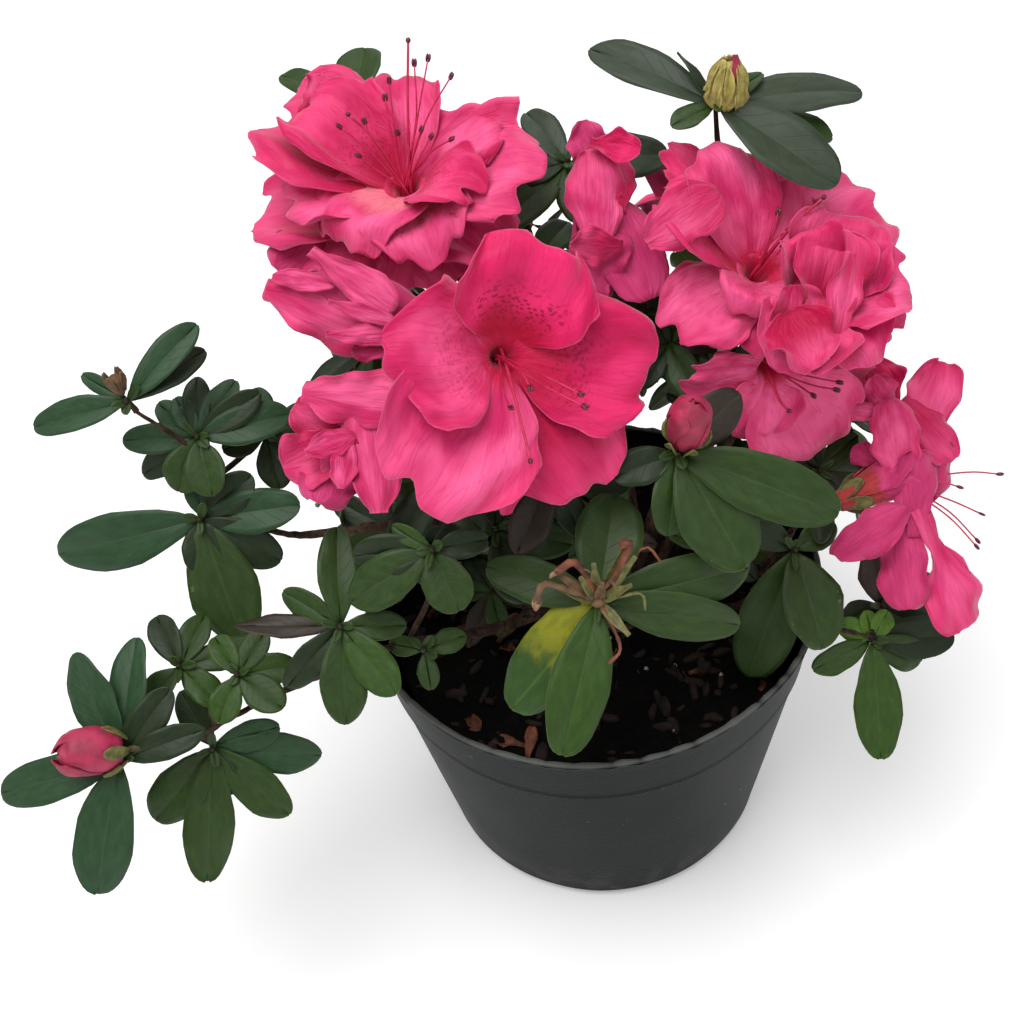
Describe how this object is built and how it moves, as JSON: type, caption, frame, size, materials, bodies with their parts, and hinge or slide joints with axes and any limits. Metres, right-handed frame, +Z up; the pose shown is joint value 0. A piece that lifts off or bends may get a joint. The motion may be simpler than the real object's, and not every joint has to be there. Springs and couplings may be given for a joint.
{
  "type": "potted azalea shrub",
  "caption": "Evergreen azalea in bloom in a plain round nursery pot: leaf rosettes on spreading woody limbs, with large ruffled pink flowers standing above them.",
  "frame": {"origin": "centre of the pot's flat underside", "axes": "+Z up the plant, -Y to the front, +X to the right as seen from the front"},
  "size_m": [0.278, 0.1934, 0.247],
  "materials": {
    "pot": "thin dark grey moulded plastic, dull and a little scuffed",
    "soil": "moist dark potting mix with bark chips",
    "bark": "thin rough brown bark",
    "leaf": "dark green leaf, softly shining",
    "petal": "hot pink petal, soft and slightly translucent",
    "bud": "furled deep pink petals in a green calyx"
  },
  "bodies": {
    "root": {"pot": "pot", "soil": "soil", "stem": "bark", "bloom_back_left": "petal", "bloom_back_right": "petal", "bloom_far_right": "petal", "bloom_front": "petal", "bloom_half_left": "petal", "bloom_half_low": "petal", "bloom_pendant": "petal", "bloom_right": "petal", "bloom_top_centre": "petal", "bloom_top_left": "petal", "bloom_top_right": "petal", "bud_centre": "bud", "bud_left": "bud", "bud_top": "bud", "limb_back_left": "bark", "limb_back_right": "bark", "limb_centre": "bark", "limb_far_right": "bark", "limb_front": "bark", "limb_left_front": "bark", "limb_left_low": "bark", "limb_left_tip": "bark", "limb_left_upper": "bark", "limb_right": "bark", "limb_right_high": "bark", "limb_right_low": "bark", "limb_top_back": "bark", "limb_top_centre": "bark", "limb_top_left": "bark", "limb_top_right": "bark", "mass_back": "leaf", "mass_back_left": "leaf", "mass_back_right": "leaf", "mass_left": "leaf", "mass_right": "leaf", "rosette_front": "leaf", "rosette_front_left": "leaf", "rosette_front_mid": "leaf", "rosette_front_right": "leaf", "rosette_front_sprig": "leaf", "rosette_left_bud": "leaf", "rosette_left_crest": "leaf", "rosette_left_crown": "leaf", "rosette_left_fan": "leaf", "rosette_left_inner": "leaf", "rosette_left_low": "leaf", "rosette_left_small": "leaf", "rosette_left_tip": "leaf", "rosette_left_top": "leaf", "rosette_right": "leaf", "rosette_right_dark": "leaf", "rosette_right_low": "leaf", "rosette_top_centre": "leaf", "rosette_top_left": "leaf", "rosette_top_right": "leaf"}
  },
  "joints": []
}
